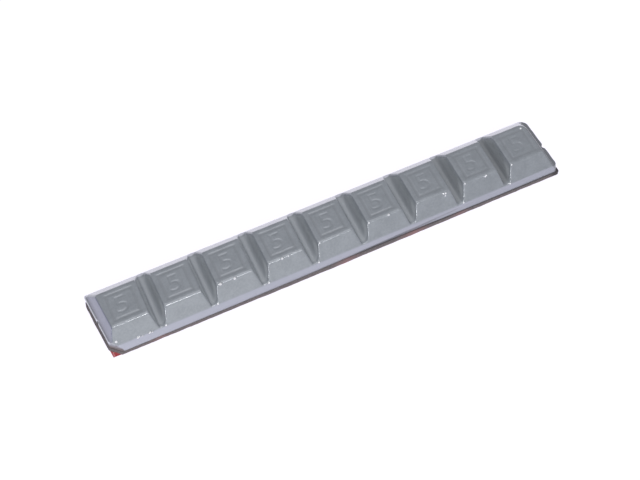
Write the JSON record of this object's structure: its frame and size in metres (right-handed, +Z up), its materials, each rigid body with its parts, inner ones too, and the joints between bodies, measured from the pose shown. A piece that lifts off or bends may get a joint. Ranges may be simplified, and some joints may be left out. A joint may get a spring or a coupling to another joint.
{
  "type": "wheel balance weight",
  "caption": "Stick-on wheel balance weight: a strip of bevelled cast segments with break grooves, on foam tape with a release liner.",
  "frame": {"origin": "middle of the underside, on the release liner", "axes": "+X along the strip, +Y across it, +Z up through the tops of the segments"},
  "size_m": [0.1125, 0.016, 0.0066],
  "materials": {
    "coated_casting": "satin silver-grey coat over a rough casting, bare and bright along the plate's rim",
    "foam_tape": "matte closed-cell foam",
    "liner_film": "smooth thin film"
  },
  "bodies": {
    "root": {"weight_strip": "coated_casting", "adhesive_tape": "foam_tape", "release_liner": "liner_film"}
  },
  "joints": []
}
